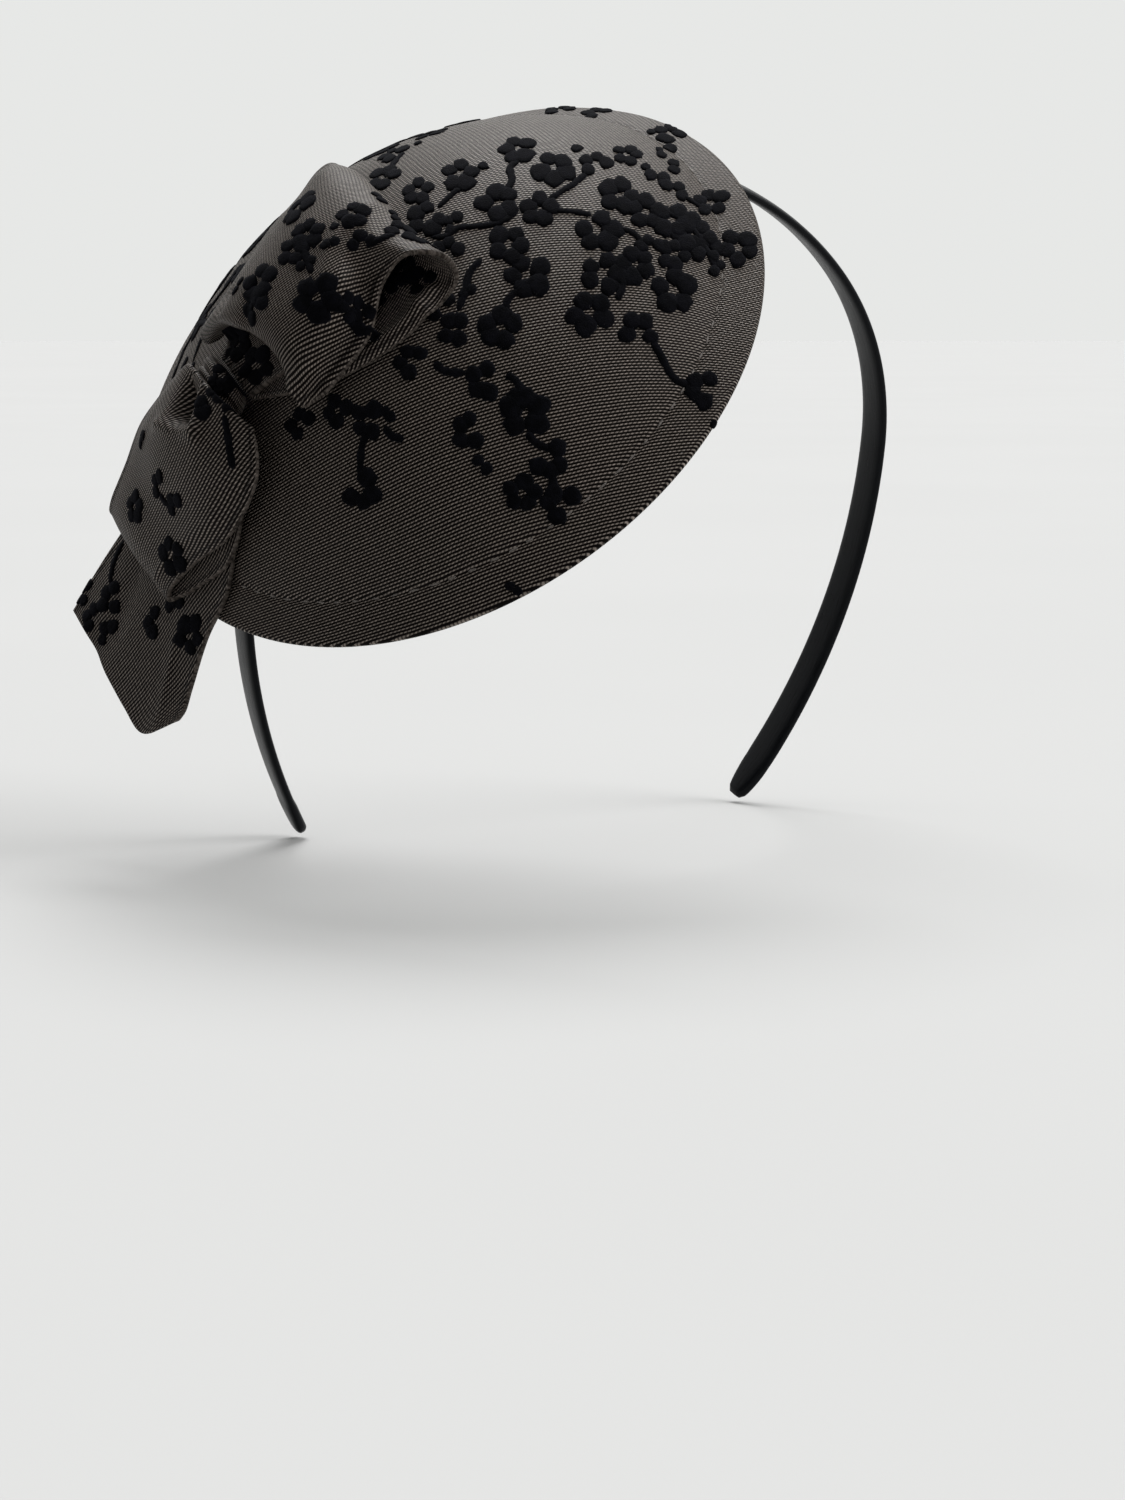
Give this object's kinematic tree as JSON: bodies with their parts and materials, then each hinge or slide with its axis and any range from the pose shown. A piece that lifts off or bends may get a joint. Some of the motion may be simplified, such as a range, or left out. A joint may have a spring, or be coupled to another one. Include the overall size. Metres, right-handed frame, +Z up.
{
  "type": "fascinator",
  "caption": "Round shallow-domed percher fascinator in dark twill with velvet blossoms and a soft side bow, carried tilted on a narrow headband over the head.",
  "frame": {"origin": "top of the wearer's head: the middle of the headband's inner face", "axes": "+Z up as worn, -Y the way the wearer looks, -X to the wearer's right, where the hat and its bow sit"},
  "size_m": [0.1927, 0.1424, 0.1699],
  "materials": {
    "twill": "dark grey-brown satin twill with flocked black blossoms",
    "bow_cloth": "the same twill, softer, tied into a bow",
    "satin": "black satin ribbon wrapped round a stiff band"
  },
  "bodies": {
    "root": {"hat_shell": "twill", "headband": "satin", "bow_upper_loop": "bow_cloth", "bow_lower_loop": "bow_cloth", "bow_tail": "bow_cloth", "bow_knot": "bow_cloth"}
  },
  "joints": []
}
